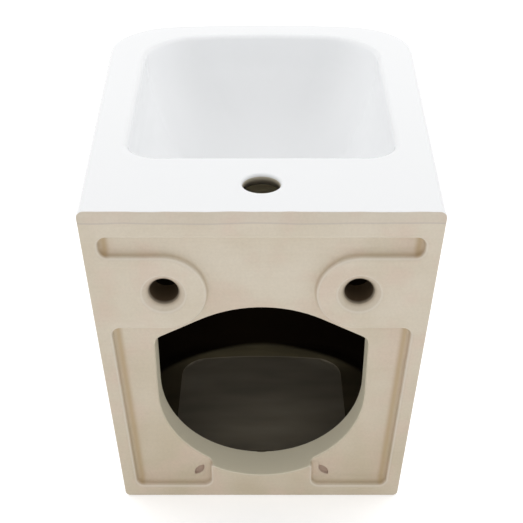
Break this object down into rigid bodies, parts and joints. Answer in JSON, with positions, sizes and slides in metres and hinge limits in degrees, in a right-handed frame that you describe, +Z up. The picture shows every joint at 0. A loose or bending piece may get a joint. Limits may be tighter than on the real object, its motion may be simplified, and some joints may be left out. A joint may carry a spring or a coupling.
{
  "type": "wall-hung bidet",
  "caption": "Wall-hung ceramic bidet with a deep rounded bowl, flat tap deck, tapering skirt, open arched service hole in the unglazed back and a push-open waste.",
  "frame": {"origin": "on the wall plane, midway between the axes of the two wall fixing holes", "axes": "+X along the wall, +Y out of the wall into the room, +Z up"},
  "size_m": [0.366, 0.48, 0.35],
  "materials": {
    "sanitary_ceramic": "white vitreous glaze, bare beige bisque on the back and inside",
    "chromed_brass": "polished chrome plate",
    "raw_brass": "turned brass",
    "black_rubber": "moulded rubber",
    "white_plastic": "moulded plastic",
    "grey_plastic": "moulded plastic",
    "spring_steel": "drawn wire"
  },
  "bodies": {
    "fixture": {"ceramic_body": "sanitary_ceramic", "waste_body": "chromed_brass", "flange_seal": "black_rubber", "cone_seal": "black_rubber", "slip_washer": "white_plastic", "back_nut": "raw_brass", "cartridge_barrel": "white_plastic", "cartridge_cap": "white_plastic", "return_spring": "spring_steel"},
    "plug": {"plug_cap": "chromed_brass", "plug_seal": "black_rubber", "plug_stem": "raw_brass", "stem_nut": "raw_brass", "latch_rotor": "grey_plastic"}
  },
  "joints": [
    {"name": "plug_press", "type": "slide", "parent": "fixture", "child": "plug", "axis": [0, 0, 1], "range_m": [-0.008, 0], "stiffness_N_per_m": 700, "springref_m": 0.008, "deforming": ["return_spring"]}
  ]
}
